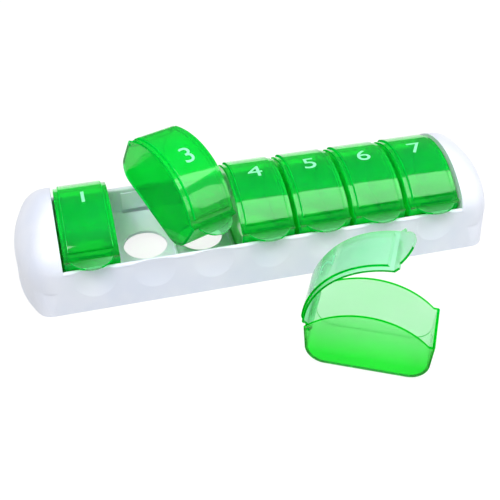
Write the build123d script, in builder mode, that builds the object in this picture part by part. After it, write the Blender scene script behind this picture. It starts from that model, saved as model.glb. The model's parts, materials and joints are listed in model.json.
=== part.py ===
"""Weekly pill box: a white tray with seven lift-out day boxes, each with a hinged arched lid.

Millimetres, +Z up. The origin is the middle of the tray's underside. +X runs along the row
and -Y is the front, where the thumb tabs are. Day box 1 is at the left end of the row.
The boxes are placed as photographed: box 2 in front of the tray with its lid open, box 3 lifted
out of its slot and turned, and the rest seated with their lids closed.
"""
import os
from math import hypot, sqrt

from build123d import *

# Row
box_count = 7
box_spacing = 2.2

# Day box, measured from the middle of its underside
box_width = 24.8
box_depth = 54.6
box_wall = 1.2
rim_height = 19.4
arch_height = 30.6
rim_flat = 2.6
wall_lean = 1.6
bottom_round = 9.0
box_corner = 0.9

# Hinge: stub pins on the lid turn in holes through the box's side walls
hinge_inset = 2.1
hinge_drop = 0.3
pin_radius = 0.8
pin_clearance = 0.05
pin_end_gap = 0.1
barrel_radius = 1.5
barrel_side_gap = 0.3
notch_gap = 0.4
hinge_plate = 1.2

# Lid
lid_side_gap = 0.1
lid_gap = 0.2
flange_thick = 0.9
flange_setback = 0.8
flange_width = 2.1
panel_rise = 0.9
panel_wall = 1.1
panel_setback = 3.4
panel_edge = 0.5
panel_chamfer = 1.2
brim_thick = 1.0
brim_overhang = 0.3
tab_radius = 10.1
tab_reach = 6.7
catch_length = 12.0
catch_height = 1.4
catch_thick = 0.9
catch_gap = 0.25

# Tray
end_length = 20.5
tray_side = 5.1
tray_wall = 2.0
crown_height = 38.6
crown_radius = 40.0
leg_lean = 2.7
shoulder_round = 14.0
end_bow = 60.0
end_wall_height = 14.0
end_radius = 26.0
end_top_trim = 0.03
groin_round = 13.0
band_height = 12.0
band_step = 0.3
band_corner = 7.0
floor_height = 5.6
floor_thick = 1.5
front_wall_height = 22.2
back_wall_height = 20.4
hole_radius = 10.5
hole_offset = 1.2
rib_width = 1.0
rib_height = 1.5
pad_width = 14.4
pad_low = 7.7
pad_high = 17.6
pad_depth = 1.5
pad_tip = 0.4
slot_depth = 2.0
scoop_radius = 9.5
scoop_depth = 0.75
scoop_height = 16.9
rim_bead = 1.15

# How box 2 stands in front of the tray, and how far its lid is open
front_box_x = 29.1
front_box_y = -86.4
front_box_turn = 62.6
front_lid_angle = 49.0

# How box 3 is lifted out: its rim's front right corner is beside box 4, this high over the floor
lifted_gap = 1.1
lifted_corner_y = -16.6
lifted_rise = 24.6
lifted_box_turn = (18.9, 15.8, 23.2)

# Values worked out from the sizes above
pitch = box_width + box_spacing
tray_length = box_count * pitch + 2 * end_length
tray_depth = box_depth + 2 * tray_side
lid_width = box_width - 2 * lid_side_gap
panel_width = lid_width - 2 * flange_width
box_front = -box_depth / 2
box_rear = box_depth / 2
inner_half = box_width / 2 - box_wall
hinge_y = box_rear - hinge_inset
hinge_z = rim_height - hinge_drop
arch_mid = rim_flat / 2
arch_half = (box_depth - rim_flat) / 2
arch_rise = arch_height - rim_height
arch_radius = (arch_half**2 + arch_rise**2) / (2 * arch_rise)
arch_centre = arch_height - arch_radius
flange_low = arch_radius + lid_gap
flange_top = flange_low + flange_thick
panel_top = flange_top + panel_rise
panel_low = panel_top - panel_wall
brim_low = rim_height + lid_gap
brim_top = brim_low + brim_thick
brim_front = box_front - brim_overhang
row_half = box_count * pitch / 2
bow_place = tray_length / 2 - end_bow
slot_places = [(index - (box_count - 1) / 2) * pitch for index in range(box_count)]
leg_half = tray_depth / 2 - leg_lean
leg_height = crown_height - crown_radius + sqrt(crown_radius**2 - leg_half**2)
leg_length = hypot(leg_lean, leg_height)
front_wall = front_wall_height - rim_bead
back_wall = back_wall_height - rim_bead


def arch_z(radius, y):
    """Height on an arch of this radius, at a distance along the box."""
    return arch_centre + sqrt(radius**2 - (y - arch_mid) ** 2)


def arch_front(radius, z):
    """Distance along the box where an arch of this radius comes down to a height in front."""
    return arch_mid - sqrt(radius**2 - (z - arch_centre) ** 2)


def arch_top(radius):
    """Highest point of an arch of this radius."""
    return (arch_mid, arch_centre + radius)


# Day box: a cup with a rounded bottom and arched side walls
with BuildPart() as day_box:
    with BuildSketch(Plane.YZ):
        with BuildLine():
            Polyline(
                (box_rear, rim_height),
                (box_rear - wall_lean, 0),
                (box_front + wall_lean, 0),
                (box_front, rim_height),
                (box_front + rim_flat, rim_height),
            )
            ThreePointArc((box_front + rim_flat, rim_height), arch_top(arch_radius), (box_rear, rim_height))
        make_face()
    extrude(amount=box_width / 2, both=True)
    fillet(day_box.edges().filter_by(Axis.X).group_by(Axis.Z)[0], bottom_round)
    side_faces = day_box.faces().filter_by(Axis.X)
    fillet(side_faces.edges().filter_by(lambda edge: edge.center().Z < hinge_z), box_corner)
    with BuildSketch(Plane.YZ):
        with BuildLine():
            Polyline(
                (box_rear - box_wall, rim_height),
                (box_rear - box_wall - wall_lean, box_wall),
                (box_front + box_wall + wall_lean, box_wall),
                (box_front + box_wall, rim_height),
                (box_front + box_wall, arch_height + box_wall),
                (box_rear - box_wall, arch_height + box_wall),
                close=True,
            )
        cavity = make_face()
        fillet(cavity.vertices().group_by(Axis.Y)[0], bottom_round - box_wall)
    extrude(amount=inner_half, both=True, mode=Mode.SUBTRACT)
    notch_low = hinge_z - barrel_radius - notch_gap
    with BuildSketch(Plane.XY.offset(notch_low)):
        with Locations((0, box_rear)):
            Rectangle(2 * inner_half, 2 * (hinge_inset + barrel_radius))
    extrude(amount=arch_height, mode=Mode.SUBTRACT)
    with BuildSketch(Plane.YZ):
        with Locations((hinge_y, hinge_z)):
            Circle(pin_radius + pin_clearance)
    extrude(amount=box_width, both=True, mode=Mode.SUBTRACT)


# Lid, drawn closed on its box: arched flange, raised hollow panel, brim with thumb tab, hinge barrel
with BuildPart() as lid:
    flange_rear = hinge_y - flange_setback
    with BuildSketch(Plane.YZ):
        with BuildLine():
            ThreePointArc(
                (flange_rear, arch_z(flange_low, flange_rear)),
                arch_top(flange_low),
                (arch_front(flange_low, brim_low), brim_low),
            )
            Polyline(
                (arch_front(flange_low, brim_low), brim_low),
                (brim_front, brim_low),
                (brim_front, brim_top),
                (arch_front(flange_top, brim_top), brim_top),
            )
            ThreePointArc(
                (arch_front(flange_top, brim_top), brim_top),
                arch_top(flange_top),
                (flange_rear, arch_z(flange_top, flange_rear)),
            )
            Line(
                (flange_rear, arch_z(flange_top, flange_rear)),
                (flange_rear, arch_z(flange_low, flange_rear)),
            )
        make_face()
    extrude(amount=lid_width / 2, both=True)

    panel_front = box_front + panel_setback
    panel_rear = hinge_y - panel_chamfer
    with BuildSketch(Plane.YZ):
        with BuildLine():
            ThreePointArc(
                (hinge_y, arch_z(flange_low, hinge_y)),
                arch_top(flange_low),
                (panel_front, arch_z(flange_low, panel_front)),
            )
            Line(
                (panel_front, arch_z(flange_low, panel_front)),
                (panel_front, arch_z(panel_top, panel_front)),
            )
            ThreePointArc(
                (panel_front, arch_z(panel_top, panel_front)),
                arch_top(panel_top),
                (panel_rear, arch_z(panel_top, panel_rear)),
            )
            Polyline(
                (panel_rear, arch_z(panel_top, panel_rear)),
                (hinge_y, arch_z(panel_top, hinge_y) - panel_chamfer),
                (hinge_y, arch_z(flange_low, hinge_y)),
            )
        make_face()
    extrude(amount=panel_width / 2, both=True)
    for side in (-panel_width / 2, panel_width / 2):
        panel_edges = lid.edges().filter_by_position(Axis.X, side, side)
        fillet(panel_edges.sort_by(Axis.Z)[-1], panel_edge)

    with BuildSketch(Plane.YZ):
        with BuildLine():
            hollow_front = panel_front + panel_wall
            hollow_rear = hinge_y - hinge_plate
            hollow_low = flange_low - flange_thick
            ThreePointArc(
                (hollow_front, arch_z(panel_low, hollow_front)),
                arch_top(panel_low),
                (hollow_rear, arch_z(panel_low, hollow_rear)),
            )
            Line(
                (hollow_rear, arch_z(panel_low, hollow_rear)),
                (hollow_rear, arch_z(hollow_low, hollow_rear)),
            )
            ThreePointArc(
                (hollow_rear, arch_z(hollow_low, hollow_rear)),
                arch_top(hollow_low),
                (hollow_front, arch_z(hollow_low, hollow_front)),
            )
            Line(
                (hollow_front, arch_z(hollow_low, hollow_front)),
                (hollow_front, arch_z(panel_low, hollow_front)),
            )
        make_face()
    extrude(amount=panel_width / 2 - panel_wall, both=True, mode=Mode.SUBTRACT)

    barrel_half = inner_half - barrel_side_gap
    with BuildSketch(Plane.YZ):
        with Locations((hinge_y, hinge_z)):
            Circle(barrel_radius)
        plate_top = arch_z(flange_top, hinge_y)
        with Locations((hinge_y - hinge_plate / 2, (hinge_z + plate_top) / 2)):
            Rectangle(hinge_plate, plate_top - hinge_z)
    extrude(amount=barrel_half, both=True)
    with BuildSketch(Plane.YZ):
        with Locations((hinge_y, hinge_z)):
            Circle(pin_radius)
    extrude(amount=box_width / 2 - pin_end_gap, both=True)

    tab_half = sqrt(tab_radius**2 - (tab_radius - tab_reach) ** 2)
    with BuildSketch(Plane.XY.offset(brim_low)):
        with BuildLine():
            ThreePointArc((-tab_half, brim_front), (0, brim_front - tab_reach), (tab_half, brim_front))
            Polyline(
                (tab_half, brim_front),
                (tab_half, brim_front + brim_overhang),
                (-tab_half, brim_front + brim_overhang),
                (-tab_half, brim_front),
            )
        make_face()
    extrude(amount=brim_thick)

    catch_rear = box_front + box_wall + catch_gap + catch_thick
    with BuildSketch(Plane.XY.offset(brim_low - catch_height)):
        with Locations((0, catch_rear - catch_thick / 2)):
            Rectangle(catch_length, catch_thick)
    extrude(amount=catch_height + brim_thick / 2)


def wall_face(z):
    """Half the tray's depth at a height, on the outside of its leaning walls."""
    return tray_depth / 2 - leg_lean * z / leg_height


def tray_section(inset, plane):
    """The tray's arched cross-section, drawn in by a wall."""
    half = tray_depth / 2 - inset
    top = crown_height - inset
    radius = crown_radius - inset
    shoulder = (half - leg_lean, top - radius + sqrt(radius**2 - (half - leg_lean) ** 2))
    with BuildSketch(plane) as section:
        with BuildLine():
            Polyline((-shoulder[0], shoulder[1]), (-half, 0), (half, 0), shoulder)
            ThreePointArc(shoulder, (0, top), (-shoulder[0], shoulder[1]))
        make_face()
        fillet(section.vertices().group_by(Axis.Y)[-1], shoulder_round - inset)
    return section


def tray_form(inset):
    """The tray's outside, drawn in by a wall: an arched bar whose bowed ends curve over to the top."""
    reach = tray_length / 2 - band_step - inset
    radius = end_radius - inset
    ceiling = end_wall_height + radius - end_top_trim
    curve_top = (reach - radius + sqrt(radius**2 - (ceiling - end_wall_height) ** 2), ceiling)
    with BuildPart() as form:
        with BuildSketch(Plane.XZ):
            with BuildLine():
                Polyline(
                    curve_top,
                    (bow_place, ceiling),
                    (bow_place, 0),
                    (reach, 0),
                    (reach, end_wall_height),
                )
                TangentArc((reach, end_wall_height), curve_top, tangent=(0, 1))
            make_face()
        revolve(axis=Axis((bow_place, 0, 0), (0, 0, 1)))
        with BuildSketch():
            Rectangle(2 * bow_place, 2 * end_bow)
        extrude(amount=ceiling)
        mirror(about=Plane.YZ)
        extrude(tray_section(inset, Plane.YZ).sketch, amount=tray_length, both=True, mode=Mode.INTERSECT)
        end_edges = form.edges().filter_by(lambda edge: abs(edge.center().X) > bow_place)
        groins = end_edges.filter_by(lambda edge: edge.center().Z > inset)
        fillet(groins.filter_by(GeomType.CIRCLE, reverse=True), groin_round - inset)
    return form.part


# Base band: the upright lower part of the tray's ends
with BuildPart() as band:
    with BuildSketch() as band_plan:
        with Locations((-bow_place, 0), (bow_place, 0)):
            Circle(end_bow)
        Rectangle(2 * bow_place, 2 * end_bow)
        Rectangle(tray_length, tray_depth, mode=Mode.INTERSECT)
        fillet(band_plan.vertices().filter_by(lambda corner: abs(corner.Y) > tray_depth / 4), band_corner)
    extrude(amount=band_height)
    extrude(tray_section(0, Plane.YZ).sketch, amount=tray_length, both=True, mode=Mode.INTERSECT)

# Tray: a thin shell, open underneath, with a raised floor under the row
with BuildPart() as tray:
    add(tray_form(0))
    add(band)
    add(tray_form(tray_wall), mode=Mode.SUBTRACT)
    with BuildSketch(Plane.YZ.offset(-row_half)):
        with BuildLine():
            Polyline(
                (-tray_depth, front_wall),
                (0, front_wall),
                (0, back_wall),
                (tray_depth, back_wall),
                (tray_depth, 2 * crown_height),
                (-tray_depth, 2 * crown_height),
                close=True,
            )
        make_face()
    extrude(amount=2 * row_half, mode=Mode.SUBTRACT)
    front_rim = tray_wall / 2 - wall_face(front_wall)
    back_rim = wall_face(back_wall) - tray_wall / 2
    with BuildSketch(Plane.YZ):
        with Locations((front_rim, front_wall), (back_rim, back_wall)):
            Circle(rim_bead)
    extrude(amount=row_half, both=True)
    for side in (-1, 1):
        partition = Plane.YZ.offset(side * (row_half + tray_wall / 2))
        extrude(tray_section(tray_wall / 2, partition).sketch, amount=tray_wall / 2, both=True)
    with BuildSketch(Plane.YZ):
        add(tray_section(tray_wall / 2, Plane.YZ).sketch_local)
        with Locations((0, floor_height - floor_thick / 2)):
            Rectangle(tray_depth, floor_thick, mode=Mode.INTERSECT)
    extrude(amount=row_half + tray_wall / 2, both=True)
    slot_rear = wall_face(floor_height) - tray_wall
    with BuildSketch(Plane.XY.offset(floor_height)):
        with Locations((0, hole_offset)):
            with GridLocations(pitch, 0, box_count, 1):
                Circle(hole_radius)
        with Locations((0, slot_rear - slot_depth / 2)):
            with GridLocations(pitch, 0, box_count, 1):
                Rectangle(pad_width, slot_depth)
    extrude(amount=-floor_height, mode=Mode.SUBTRACT)
    with BuildSketch(Plane.XY.offset(floor_height)):
        with GridLocations(pitch, 0, box_count - 1, 1):
            Rectangle(rib_width, 2 * (wall_face(floor_height) - tray_wall))
    extrude(amount=rib_height)
    for place in slot_places:
        with BuildSketch(Plane.YZ.offset(place)):
            with BuildLine():
                Polyline(
                    (wall_face(pad_low) - tray_wall / 2, pad_low),
                    (wall_face(pad_low) - tray_wall - pad_depth, pad_low),
                    (wall_face(pad_high) - tray_wall - pad_tip, pad_high),
                    (wall_face(pad_high) - tray_wall / 2, pad_high),
                    close=True,
                )
            make_face()
        extrude(amount=pad_width / 2, both=True)
    scoop_ball = (scoop_radius**2 + scoop_depth**2) / (2 * scoop_depth)
    scoop_stand = scoop_ball - scoop_depth
    for place in slot_places:
        scoop_y = -wall_face(scoop_height) - scoop_stand * leg_height / leg_length
        scoop_z = scoop_height + scoop_stand * leg_lean / leg_length
        with Locations((place, scoop_y, scoop_z)):
            Sphere(scoop_ball, mode=Mode.SUBTRACT)

os.makedirs("parts", exist_ok=True)
tray.part.label = "tray"
export_step(tray.part, "parts/tray.step")

# Where each box stands, and each lid on its box
seats = [Location((place, 0, floor_height)) for place in slot_places]
seats[1] = Location((front_box_x, front_box_y, 0), (0, 0, front_box_turn))
beside_box_4 = slot_places[3] - box_width / 2 - lifted_gap
lifted_corner = Location((beside_box_4, lifted_corner_y, floor_height + lifted_rise), lifted_box_turn)
seats[2] = lifted_corner * Location((-box_width / 2, -box_front, -rim_height))
hinge = Location((0, hinge_y, hinge_z))
lid_angles = [0.0] * box_count
lid_angles[1] = front_lid_angle
for index, seat in enumerate(seats):
    swing = hinge * Location((0, 0, 0), (-lid_angles[index], 0, 0)) * hinge.inverse()
    box_copy = day_box.part.moved(seat)
    box_copy.label = f"day_box_{index + 1}"
    export_step(box_copy, f"parts/{box_copy.label}.step")
    lid_copy = lid.part.moved(seat * swing)
    lid_copy.label = f"lid_{index + 1}"
    export_step(lid_copy, f"parts/{lid_copy.label}.step")
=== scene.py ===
# Weekly pill box in the studio: a white tray and seven translucent green day boxes with arched lids
import json
from math import radians

import bpy
from mathutils import Matrix, Vector


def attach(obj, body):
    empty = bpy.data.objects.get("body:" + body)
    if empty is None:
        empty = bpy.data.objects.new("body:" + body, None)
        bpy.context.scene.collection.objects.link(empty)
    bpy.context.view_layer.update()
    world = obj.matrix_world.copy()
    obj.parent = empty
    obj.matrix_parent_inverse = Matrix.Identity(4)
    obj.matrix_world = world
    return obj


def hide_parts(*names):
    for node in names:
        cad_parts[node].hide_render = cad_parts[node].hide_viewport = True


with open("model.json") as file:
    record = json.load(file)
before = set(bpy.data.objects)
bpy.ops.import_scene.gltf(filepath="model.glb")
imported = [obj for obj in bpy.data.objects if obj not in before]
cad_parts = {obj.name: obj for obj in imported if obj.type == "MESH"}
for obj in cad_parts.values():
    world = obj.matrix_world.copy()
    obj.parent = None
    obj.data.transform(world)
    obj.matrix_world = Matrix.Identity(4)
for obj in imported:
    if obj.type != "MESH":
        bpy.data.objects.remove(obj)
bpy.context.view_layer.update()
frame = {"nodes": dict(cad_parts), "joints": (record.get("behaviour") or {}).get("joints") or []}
print("frame loaded with", len(frame["nodes"]), "nodes")

mm = 0.001
dayNumbers = range(1, 8)


def linear(hexColour):
    # sRGB hex to the linear values that the shaders take
    parts = [int(hexColour[place:place + 2], 16) / 255 for place in (1, 3, 5)]
    return [part / 12.92 if part <= 0.04045 else ((part + 0.055) / 1.055) ** 2.4 for part in parts] + [1.0]


def grey(level):
    return [level, level, level, 1.0]


def clamp(value):
    return min(max(value, 0.0), 1.0)


def addNode(tree, kind, settings=None, links=None):
    node = tree.nodes.new(kind)
    for name, value in (settings or {}).items():
        if isinstance(name, int) or name in node.inputs:
            node.inputs[name].default_value = value
        else:
            setattr(node, name, value)
    for name, source in (links or {}).items():
        tree.links.new(source, node.inputs[name])
    return node


def newMaterial(name):
    material = bpy.data.materials.new(name)
    material.use_nodes = True
    material.node_tree.nodes.clear()
    return material, material.node_tree


def pickOnly(thing):
    bpy.ops.object.select_all(action="DESELECT")
    thing.select_set(True)
    bpy.context.view_layer.objects.active = thing


# White tray
trayLook = {
    "pale": "#f0f4ff",
    "shade": "#e8eefd",
    "cloud": 22.0 * mm,  # slow drift of the tone along the moulding
    "shadeUpTo": 0.35,
    "paleFrom": 0.65,
    "grain": 0.7 * mm,  # satin texture of the tool, coarser than real so that it shows
    "roughLow": 0.26,
    "roughHigh": 0.40,
    "bump": 0.06,
    "bumpDepth": 0.02 * mm,
    "bend": 1.55,
}


def satinStyrene():
    # Injection-moulded white polystyrene from a satin tool: bright, cool in the shade, with soft broad
    # highlights
    material, tree = newMaterial("satinWhiteStyrene")
    spot = addNode(tree, "ShaderNodeTexCoord")
    cloud = addNode(tree, "ShaderNodeTexNoise", {"Scale": 1 / trayLook["cloud"], "Detail": 2.0},
                    {"Vector": spot.outputs["Object"]})
    drift = addNode(tree, "ShaderNodeMapRange",
                    {"From Min": trayLook["shadeUpTo"], "From Max": trayLook["paleFrom"]},
                    {"Value": cloud.outputs["Fac"]})
    tone = addNode(tree, "ShaderNodeMixRGB",
                   {"Color1": linear(trayLook["shade"]), "Color2": linear(trayLook["pale"])},
                   {"Fac": drift.outputs["Result"]})
    grain = addNode(tree, "ShaderNodeTexNoise", {"Scale": 1 / trayLook["grain"], "Detail": 3.0},
                    {"Vector": spot.outputs["Object"]})
    rough = addNode(tree, "ShaderNodeMapRange",
                    {"To Min": trayLook["roughLow"], "To Max": trayLook["roughHigh"]},
                    {"Value": grain.outputs["Fac"]})
    bump = addNode(tree, "ShaderNodeBump",
                   {"Strength": trayLook["bump"], "Distance": trayLook["bumpDepth"]},
                   {"Height": grain.outputs["Fac"]})
    shader = addNode(tree, "ShaderNodeBsdfPrincipled", {"IOR": trayLook["bend"]}, {
        "Base Color": tone.outputs["Color"],
        "Roughness": rough.outputs["Result"],
        "Normal": bump.outputs["Normal"],
    })
    addNode(tree, "ShaderNodeOutputMaterial", None, {"Surface": shader.outputs["BSDF"]})
    return material


# Green day boxes and lids
# The seated boxes and lids carry the deeper greens, partly the plastic's own dye and partly painted shade
# of the tray around them
cupLook = {"clear": "#1cff6c", "deep": "#10fb5e", "through": 0.6, "roughLow": 0.08, "roughHigh": 0.16,
           "absorb": "#62ff94", "density": 200.0, "gloss": 0.3}
lidLook = {"clear": "#1aff78", "deep": "#0eff6a", "through": 0.78, "roughLow": 0.06, "roughHigh": 0.12,
           "absorb": "#6cff9c", "density": 200.0, "gloss": 0.65, "tab": "#a8ffc8", "front": "#04cc4a"}
# Box 2 stands clear of the white tray, so light reaches it from all sides: its paler colours are a painted
# lit copy of the green plastic, and the deeper green in the foot of its front wall is painted shade
freeCupLook = {"clear": "#fafffb", "deep": "#f4fff6", "through": 0.9, "roughLow": 0.1, "roughHigh": 0.18,
               "absorb": "#62fd94", "density": 430.0, "gloss": 0.2,
               "foot": "#08ff48", "footTop": 6.0 * mm, "paleFrom": 40.0 * mm}
freeLidLook = {"clear": "#c8ffe4", "deep": "#bcffdc", "through": 0.6, "roughLow": 0.1, "roughHigh": 0.18,
               "absorb": "#6cff9c", "density": 260.0, "gloss": 0.4, "tab": "#dcfff2", "front": "#c8ffe4"}
# Box 3 is lifted into the light, so its walls can be seen through; its clearer colours are a painted lit
# copy of the green plastic
liftedCupLook = {"clear": "#34f68a", "deep": "#28f07e", "through": 0.82,
                 "roughLow": 0.06, "roughHigh": 0.12,
                 "absorb": "#40ff8e", "density": 420.0, "gloss": 0.4}
# The edges carry painted light: plain green lines, without mirroring, for the light that the walls pipe
# along to their edges; those of box 2, against the white table, are painted clearer and deeper
edgeLook = {"clear": "#12f05e", "deep": "#0ae452", "through": 0.4, "roughLow": 0.16, "roughHigh": 0.26,
            "absorb": "#62ff94", "density": 300.0, "gloss": 0.0, "bend": 1.0}
freeEdgeLook = dict(edgeLook, clear="#08d64e", deep="#04ca44", through=0.85)
dyeFinish = {
    "cloud": 9.0 * mm,  # drift of the dye in the melt
    "deepUpTo": 0.3,
    "clearFrom": 0.7,
    "flow": 2.5 * mm,  # faint ripple left by the flow in the mould
    "bump": 0.004,
    "bumpDepth": 0.02 * mm,
    "bend": 1.22,  # low, so that the thin walls mirror little of each other
    "glossRough": 0.05,
    "glossBend": 1.5,
}


def dyedStyrene(name, look):
    # Dyed polystyrene, slightly hazy inside and moulded glossy: it glows where light comes through,
    # is darker where the wall is long along the view, and carries sharp highlights
    material, tree = newMaterial(name)
    spot = addNode(tree, "ShaderNodeTexCoord")
    cloud = addNode(tree, "ShaderNodeTexNoise", {"Scale": 1 / dyeFinish["cloud"], "Detail": 2.0},
                    {"Vector": spot.outputs["Object"]})
    drift = addNode(tree, "ShaderNodeMapRange",
                    {"From Min": dyeFinish["deepUpTo"], "From Max": dyeFinish["clearFrom"]},
                    {"Value": cloud.outputs["Fac"]})
    tone = addNode(tree, "ShaderNodeMixRGB",
                   {"Color1": linear(look["deep"]), "Color2": linear(look["clear"])},
                   {"Fac": drift.outputs["Result"]})
    colour = tone.outputs["Color"]
    # Painted shade: deeper green towards the foot of the marked front wall
    if "foot" in look:
        split = addNode(tree, "ShaderNodeSeparateXYZ", None, {"Vector": spot.outputs["Object"]})
        height = addNode(tree, "ShaderNodeMapRange",
                         {"From Min": look["paleFrom"], "From Max": look["footTop"]},
                         {"Value": split.outputs["Z"]})
        wall = addNode(tree, "ShaderNodeAttribute", {"attribute_name": "frontWall"})
        paintedShadeShare = addNode(tree, "ShaderNodeMath", {"operation": "MULTIPLY"},
                            {0: height.outputs["Result"], 1: wall.outputs["Fac"]})
        blend = addNode(tree, "ShaderNodeMixRGB", {"Color2": linear(look["foot"])},
                        {"Fac": paintedShadeShare.outputs[0], "Color1": colour})
        colour = blend.outputs["Color"]
    # Painted shade deepens a lid towards its front, and painted light makes its tab paler
    for shade, share in (("front", "frontShadeShare"), ("tab", "tabLightShare")):
        if shade in look:
            part = addNode(tree, "ShaderNodeAttribute", {"attribute_name": share})
            blend = addNode(tree, "ShaderNodeMixRGB", {"Color2": linear(look[shade])},
                            {"Fac": part.outputs["Fac"], "Color1": colour})
            colour = blend.outputs["Color"]
    flow = addNode(tree, "ShaderNodeTexNoise", {"Scale": 1 / dyeFinish["flow"], "Detail": 2.0},
                   {"Vector": spot.outputs["Object"]})
    rough = addNode(tree, "ShaderNodeMapRange", {"To Min": look["roughLow"], "To Max": look["roughHigh"]},
                    {"Value": flow.outputs["Fac"]})
    bump = addNode(tree, "ShaderNodeBump",
                   {"Strength": dyeFinish["bump"], "Distance": dyeFinish["bumpDepth"]},
                   {"Height": flow.outputs["Fac"]})
    shader = addNode(tree, "ShaderNodeBsdfPrincipled", {
        "IOR": look.get("bend", dyeFinish["bend"]),
        "Transmission Weight": look["through"],
        "Coat Weight": look["gloss"],
        "Coat Roughness": dyeFinish["glossRough"],
        "Coat IOR": dyeFinish["glossBend"],
    }, {
        "Base Color": colour,
        "Roughness": rough.outputs["Result"],
        "Normal": bump.outputs["Normal"],
    })
    dye = addNode(tree, "ShaderNodeVolumeAbsorption",
                  {"Color": linear(look["absorb"]), "Density": look["density"]})
    addNode(tree, "ShaderNodeOutputMaterial", None,
            {"Surface": shader.outputs["BSDF"], "Volume": dye.outputs["Volume"]})
    return material


# Day numbers
inkLook = {
    "ink": "#9dfcc9",
    "worn": "#86f0b6",
    "mottle": 0.5 * mm,
    "wornUpTo": 0.3,
    "inkFrom": 0.6,
    "bend": 1.45,
    "rough": 0.5,
}


def padInk():
    # Pad-printed ink: thin, flat and slightly chalky, with a faint mottle
    material, tree = newMaterial("paleMintInk")
    spot = addNode(tree, "ShaderNodeTexCoord")
    mottle = addNode(tree, "ShaderNodeTexNoise", {"Scale": 1 / inkLook["mottle"], "Detail": 3.0},
                     {"Vector": spot.outputs["Object"]})
    wear = addNode(tree, "ShaderNodeMapRange",
                   {"From Min": inkLook["wornUpTo"], "From Max": inkLook["inkFrom"]},
                   {"Value": mottle.outputs["Fac"]})
    tone = addNode(tree, "ShaderNodeMixRGB",
                   {"Color1": linear(inkLook["worn"]), "Color2": linear(inkLook["ink"])},
                   {"Fac": wear.outputs["Result"]})
    shader = addNode(tree, "ShaderNodeBsdfPrincipled",
                     {"IOR": inkLook["bend"], "Roughness": inkLook["rough"]},
                     {"Base Color": tone.outputs["Color"]})
    addNode(tree, "ShaderNodeOutputMaterial", None, {"Surface": shader.outputs["BSDF"]})
    return material


trayMaterial = satinStyrene()
cupMaterial = dyedStyrene("hazyGreenStyreneCup", cupLook)
lidMaterial = dyedStyrene("hazyGreenStyreneLid", lidLook)
edgeMaterial = dyedStyrene("paintedPipedLightEdge", edgeLook)
inkMaterial = padInk()

# Painted lit copies of the green plastic, by number, for the boxes that stand in other light than the
# seated ones
cupMaterials = {2: dyedStyrene("paintedLitPaleGreenCup", freeCupLook),
                3: dyedStyrene("paintedLitClearGreenCup", liftedCupLook)}
lidMaterials = {2: dyedStyrene("paintedLitPaleGreenLid", freeLidLook)}
edgeMaterials = {2: dyedStyrene("paintedPipedLightEdgeBox2", freeEdgeLook)}
print("materials made")

# The mouldings shade as one smooth surface once their triangles are merged; creases are in degrees
skinFinish = {"merge": 0.001 * mm, "crease": 32.0, "trayCrease": 5.0}


def smoothMoulding(nodeName, material, crease):
    pickOnly(frame["nodes"][nodeName])
    bpy.ops.object.duplicate()
    skin = bpy.context.active_object
    skin.name = nodeName + "_moulding"
    skin.parent = None
    for key in [key for key in skin.keys() if key.startswith("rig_")]:
        del skin[key]
    bpy.ops.object.mode_set(mode="EDIT")
    bpy.ops.mesh.customdata_custom_splitnormals_clear()
    bpy.ops.mesh.select_all(action="SELECT")
    bpy.ops.mesh.remove_doubles(threshold=skinFinish["merge"])
    bpy.ops.object.mode_set(mode="OBJECT")
    bpy.ops.object.shade_smooth_by_angle(angle=radians(crease))
    skin.data.materials.clear()
    skin.data.materials.append(material)
    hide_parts(nodeName)
    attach(skin, nodeName)
    return skin


skins = {"tray": smoothMoulding("tray", trayMaterial, skinFinish["trayCrease"])}
for number in dayNumbers:
    for stem, material in (("day_box", cupMaterials.get(number, cupMaterial)),
                           ("lid", lidMaterials.get(number, lidMaterial))):
        skins[f"{stem}_{number}"] = smoothMoulding(f"{stem}_{number}", material, skinFinish["crease"])
print("mouldings skinned:", len(skins))

# The tray's foot band leans in to meet the arched ends, with next to no ledge between them
bandLean = {"top": 12.0 * mm, "near": 0.02 * mm, "endsFrom": 95.0 * mm, "upright": 0.3, "reach": 0.98}


def bandPoints(tray):
    # Points of the band's wall, and points where the arched ends start
    below = set()
    above = set()
    for face in tray.data.polygons:
        if face.normal.x * face.center.x + face.normal.y * face.center.y <= 0:
            continue
        upright = abs(face.normal.z) < bandLean["upright"]
        if face.center.z > bandLean["top"] + bandLean["near"]:
            above.update(face.vertices)
        elif upright and face.center.z < bandLean["top"] - bandLean["near"]:
            below.update(face.vertices)
    ends = [point for point in tray.data.vertices if abs(point.co.x) > bandLean["endsFrom"]]
    band = [point for point in ends if point.index in below - above]
    dome = [point for point in ends if point.index in above - below
            and abs(point.co.z - bandLean["top"]) < bandLean["near"]]
    return band, dome


def leanBand(tray):
    band, dome = bandPoints(tray)
    places = [point.co.xy for point in dome]
    for point in band:
        place = min(places, key=lambda spot: (spot - point.co.xy).length)
        point.co.xy = point.co.xy.lerp(place, bandLean["reach"] * point.co.z / bandLean["top"])
    pickOnly(tray)
    bpy.ops.object.shade_smooth_by_angle(angle=radians(skinFinish["trayCrease"]))


leanBand(skins["tray"])
print("tray ends smoothed")

# How the boxes stand, in degrees: 2 is turned on the table with its lid open, 3 is lifted and leaning
turnedBoxes = {2: (0.0, 0.0, 62.6), 3: (18.9, 15.8, 23.2)}
openLids = {2: 49.0}
hinges = {joint["child"]: joint for joint in frame["joints"] if joint["type"] == "hinge"}


def boxUp(number):
    up = Vector((0, 0, 1))
    for angle, axis in reversed(list(zip(turnedBoxes.get(number, (0, 0, 0)), "XYZ"))):
        up = Matrix.Rotation(radians(angle), 3, axis) @ up
    return up


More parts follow.
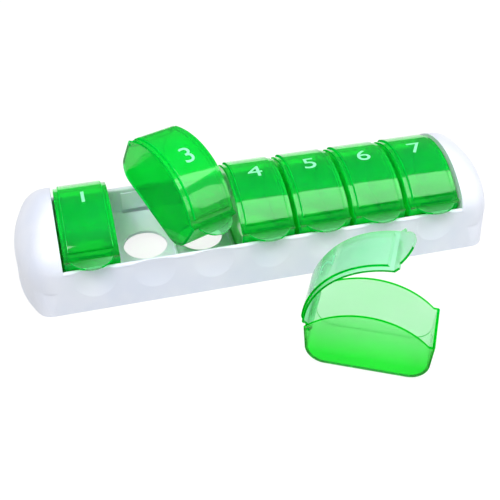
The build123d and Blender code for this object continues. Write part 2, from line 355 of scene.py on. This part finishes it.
def lidAxes(number):
    # Hinge point, and the lid's own directions across, along and up
    hinge = hinges[f"lid_{number}"]
    axis = Vector(hinge["axis"])
    up = Matrix.Rotation(radians(openLids.get(number, 0.0)), 3, axis) @ boxUp(number)
    return Vector(hinge["pos_m"]), -axis, axis.cross(up), up


# Painted shade: a lid is coloured deeper towards its front, for the shade of the box wall that stands
# behind it. Painted light: its thumb tab is single and thin, and is coloured paler for the light that
# comes through it
lidShades = {"frontFrom": 0.8, "frontTo": 1.0, "tabReach": 6.7 * mm, "tabFade": 0.6 * mm}


def shadeLid(number):
    hinge, across, along, up = lidAxes(number)
    mesh = skins[f"lid_{number}"].data
    places = [(hinge - corner.co).dot(along) for corner in mesh.vertices]
    brim = max(places) - lidShades["tabReach"]
    deepening = lidShades["frontTo"] - lidShades["frontFrom"]
    front = mesh.attributes.new("frontShadeShare", "FLOAT", "POINT")
    front.data.foreach_set("value", [
        clamp((place / brim - lidShades["frontFrom"]) / deepening) for place in places])
    tab = mesh.attributes.new("tabLightShare", "FLOAT", "POINT")
    tab.data.foreach_set("value", [clamp((place - brim) / lidShades["tabFade"]) for place in places])


for number in dayNumbers:
    shadeLid(number)
print("lids shaded")

# Edges, which get the painted light of the edge material: the rims and rounded corners of the boxes and
# the sides of the lids
edgeFaces = {"rimBelowHinge": 2.0 * mm, "rimFacing": 0.2, "cornerFrom": 0.2, "cornerTo": 0.97,
             "sideFacing": 0.35}


def colourEdges(number):
    hinge, across, along, up = lidAxes(number)
    upright = boxUp(number)
    cup = skins[f"day_box_{number}"].data
    cup.materials.append(edgeMaterials.get(number, edgeMaterial))
    for face in cup.polygons:
        facing = abs(face.normal.dot(across))
        high = (face.center - hinge).dot(upright) > -edgeFaces["rimBelowHinge"]
        rim = high and face.normal.dot(upright) > edgeFaces["rimFacing"]
        if rim or edgeFaces["cornerFrom"] < facing < edgeFaces["cornerTo"]:
            face.material_index = 1
    lid = skins[f"lid_{number}"].data
    lid.materials.append(edgeMaterials.get(number, edgeMaterial))
    for face in lid.polygons:
        if abs(face.normal.dot(across)) > edgeFaces["sideFacing"]:
            face.material_index = 1


for number in dayNumbers:
    colourEdges(number)
print("edges coloured")

# Painted shade: the foot of the wall that box 2 turns to the front is coloured deeper green
frontWall = {"box": 2, "from": 10.0 * mm}


def markFrontWall():
    hinge, across, along, up = lidAxes(frontWall["box"])
    side = across if across.y < 0 else -across
    cup = skins[f"day_box_{frontWall['box']}"].data
    wall = cup.attributes.new("frontWall", "FLOAT", "FACE")
    wall.data.foreach_set("value", [
        float((face.center - hinge).dot(side) > frontWall["from"]) for face in cup.polygons])


markFrontWall()
print("front wall marked")

# Numbers printed on the lids
numberPrint = {
    "capHeight": 8.4 * mm,
    "wide": 1.25,
    "curveSteps": 8,
    "fromHinge": 22.2 * mm,
    "shift": 0.6 * mm,
    "strips": 14,
    "lift": 0.06 * mm,
    "thick": 0.03 * mm,
    "drop": 40.0 * mm,
}


def printNumber(number):
    bpy.ops.object.select_all(action="DESELECT")
    bpy.ops.object.text_add()
    label = bpy.context.active_object
    label.name = f"number_print_{number}"
    label.data.body = str(number)
    label.data.align_x = "CENTER"
    label.data.align_y = "CENTER"
    label.data.resolution_u = numberPrint["curveSteps"]
    bpy.ops.object.convert(target="MESH")
    low = min(corner.co.y for corner in label.data.vertices)
    high = max(corner.co.y for corner in label.data.vertices)
    left = min(corner.co.x for corner in label.data.vertices)
    right = max(corner.co.x for corner in label.data.vertices)
    size = numberPrint["capHeight"] / (high - low)
    # Cut into strips, so that the flat print can follow the arch
    bpy.ops.object.mode_set(mode="EDIT")
    for strip in range(1, numberPrint["strips"]):
        bpy.ops.mesh.select_all(action="SELECT")
        cut = low + (high - low) * strip / numberPrint["strips"]
        bpy.ops.mesh.bisect(plane_co=(0, cut, 0), plane_no=(0, 1, 0))
    bpy.ops.object.mode_set(mode="OBJECT")
    hinge, across, along, up = lidAxes(number)
    lid = skins[f"lid_{number}"]
    for corner in label.data.vertices:
        flatX = (corner.co.x - (left + right) / 2) * size * numberPrint["wide"] + numberPrint["shift"]
        flatY = (corner.co.y - (low + high) / 2) * size - numberPrint["fromHinge"]
        start = hinge + across * flatX + along * flatY + up * numberPrint["drop"]
        found, place, normal, face = lid.ray_cast(start, -up)
        corner.co = place + up * numberPrint["lift"]
    thick = label.modifiers.new("thick", "SOLIDIFY")
    thick.thickness = numberPrint["thick"]
    thick.offset = -1.0
    pickOnly(label)
    bpy.ops.object.modifier_apply(modifier="thick")
    label.data.materials.append(inkMaterial)
    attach(label, f"lid_{number}")


for number in dayNumbers:
    printNumber(number)
print("numbers printed")

# Studio floor: white to the eye and in reflections, dimmer in the light it throws back
floorLook = {"size": 6.0, "drop": 0.2 * mm, "glow": 0.86, "matt": 0.18, "bounce": 0.42}


def paleFloor():
    material, tree = newMaterial("paleStudioFloor")
    path = addNode(tree, "ShaderNodeLightPath")
    mirrored = addNode(tree, "ShaderNodeMath", {"operation": "MAXIMUM"},
                       {0: path.outputs["Is Glossy Ray"], 1: path.outputs["Is Transmission Ray"]})
    seen = addNode(tree, "ShaderNodeMath", {"operation": "MAXIMUM"},
                   {0: mirrored.outputs[0], 1: path.outputs["Is Camera Ray"]})
    spread = addNode(tree, "ShaderNodeBsdfDiffuse", {"Color": grey(floorLook["bounce"])})
    shadow = addNode(tree, "ShaderNodeBsdfDiffuse", {"Color": grey(floorLook["matt"])})
    glow = addNode(tree, "ShaderNodeEmission", {"Color": grey(1.0), "Strength": floorLook["glow"]})
    bright = addNode(tree, "ShaderNodeAddShader", None, {0: shadow.outputs[0], 1: glow.outputs[0]})
    mix = addNode(tree, "ShaderNodeMixShader", None,
                  {0: seen.outputs[0], 1: spread.outputs[0], 2: bright.outputs[0]})
    addNode(tree, "ShaderNodeOutputMaterial", None, {"Surface": mix.outputs[0]})
    return material


bpy.ops.object.select_all(action="DESELECT")
bpy.ops.mesh.primitive_plane_add(size=floorLook["size"], location=(0, 0, -floorLook["drop"]))
studioFloor = bpy.context.active_object
studioFloor.name = "studio_floor"
studioFloor.data.materials.append(paleFloor())

# Studio sky: level falls from the horizon to the zenith, and towards the back and the left
skyLook = {
    "horizon": 0.5,
    "horizonUpTo": 0.45,
    "zenith": 0.17,
    "zenithFrom": 0.85,
    "back": 0.28,  # share of the light left there
    "frontUpTo": -0.3,
    "backFrom": 0.6,
    "left": 0.4,  # share of the light left there
    "leftUpTo": -0.9,
    "rightFrom": 0.1,
    "paper": 0.93,  # white backdrop, as the eye sees it
}
world = bpy.data.worlds.new("studioSky")
bpy.context.scene.world = world
world.use_nodes = True
sky = world.node_tree
sky.nodes.clear()
direction = addNode(sky, "ShaderNodeTexCoord")
split = addNode(sky, "ShaderNodeSeparateXYZ", None, {"Vector": direction.outputs["Generated"]})
height = addNode(sky, "ShaderNodeMapRange", {
    "From Min": skyLook["horizonUpTo"],
    "From Max": skyLook["zenithFrom"],
    "To Min": skyLook["horizon"],
    "To Max": skyLook["zenith"],
}, {"Value": split.outputs["Z"]})
depth = addNode(sky, "ShaderNodeMapRange", {
    "From Min": skyLook["frontUpTo"],
    "From Max": skyLook["backFrom"],
    "To Min": 1.0,
    "To Max": skyLook["back"],
}, {"Value": split.outputs["Y"]})
side = addNode(sky, "ShaderNodeMapRange", {
    "From Min": skyLook["leftUpTo"],
    "From Max": skyLook["rightFrom"],
    "To Min": skyLook["left"],
    "To Max": 1.0,
}, {"Value": split.outputs["X"]})
plan = addNode(sky, "ShaderNodeMath", {"operation": "MULTIPLY"},
               {0: side.outputs["Result"], 1: depth.outputs["Result"]})
level = addNode(sky, "ShaderNodeMath", {"operation": "MULTIPLY"},
                {0: height.outputs["Result"], 1: plan.outputs[0]})
path = addNode(sky, "ShaderNodeLightPath")
paper = addNode(sky, "ShaderNodeMath", {"operation": "MULTIPLY", 1: skyLook["paper"]},
                {0: path.outputs["Is Camera Ray"]})
strength = addNode(sky, "ShaderNodeMath", {"operation": "MAXIMUM"},
                   {0: level.outputs[0], 1: paper.outputs[0]})
backdrop = addNode(sky, "ShaderNodeBackground", {"Color": grey(1.0)}, {"Strength": strength.outputs[0]})
addNode(sky, "ShaderNodeOutputWorld", None, {"Surface": backdrop.outputs["Background"]})

# Softboxes round the table, in metres and watts; an aimed one faces the object, the others face
# straight down
lamps = {
    "softbox_right": {"place": (0.55, -0.245, 0.9), "aimed": False, "size": (0.9, 0.57), "power": 7.2},
    "softbox_side": {"place": (1.5, -0.62, 0.68), "aimed": True, "size": (0.36, 0.64), "power": 2.0},
    "softbox_left": {"place": (-0.7, 0.5, 1.25), "aimed": False, "size": (1.0, 1.2), "power": 5.6},
    "softbox_front": {"place": (-0.56, -0.56, 1.2), "aimed": True, "size": (0.76, 0.6), "power": 11.2},
}
for name, lamp in lamps.items():
    bpy.ops.object.select_all(action="DESELECT")
    bpy.ops.object.light_add(type="AREA", location=lamp["place"])
    light = bpy.context.active_object
    light.name = name
    light.data.shape = "RECTANGLE"
    light.data.size, light.data.size_y = lamp["size"]
    light.data.energy = lamp["power"]
    if lamp["aimed"]:
        light.rotation_euler = Vector(lamp["place"]).to_track_quat("Z", "Y").to_euler()
print("studio lit")

# Camera of the photograph, with angles in degrees and the lens as on a full-frame sensor
photoView = {
    "place": (-90.9 * mm, -352.0 * mm, 301.0 * mm),
    "azimuth": 14.125,
    "elevation": 40.384,
    "lens": 68.55,
    "sensor": 36.0,
    "nearest": 10.0 * mm,
}
bpy.ops.object.select_all(action="DESELECT")
bpy.ops.object.camera_add(location=photoView["place"])
camera = bpy.context.active_object
camera.rotation_euler = (radians(90 - photoView["elevation"]), 0, radians(-photoView["azimuth"]))
camera.data.lens = photoView["lens"]
camera.data.sensor_width = photoView["sensor"]
camera.data.clip_start = photoView["nearest"]
bpy.context.scene.camera = camera
bpy.context.scene.view_settings.view_transform = "Standard"

# Enough bounces for light to pass the many green walls that stand behind each other
bpy.context.scene.cycles.max_bounces = 24
bpy.context.scene.cycles.transmission_bounces = 24
bpy.context.scene.cycles.diffuse_bounces = 12
print("camera set")
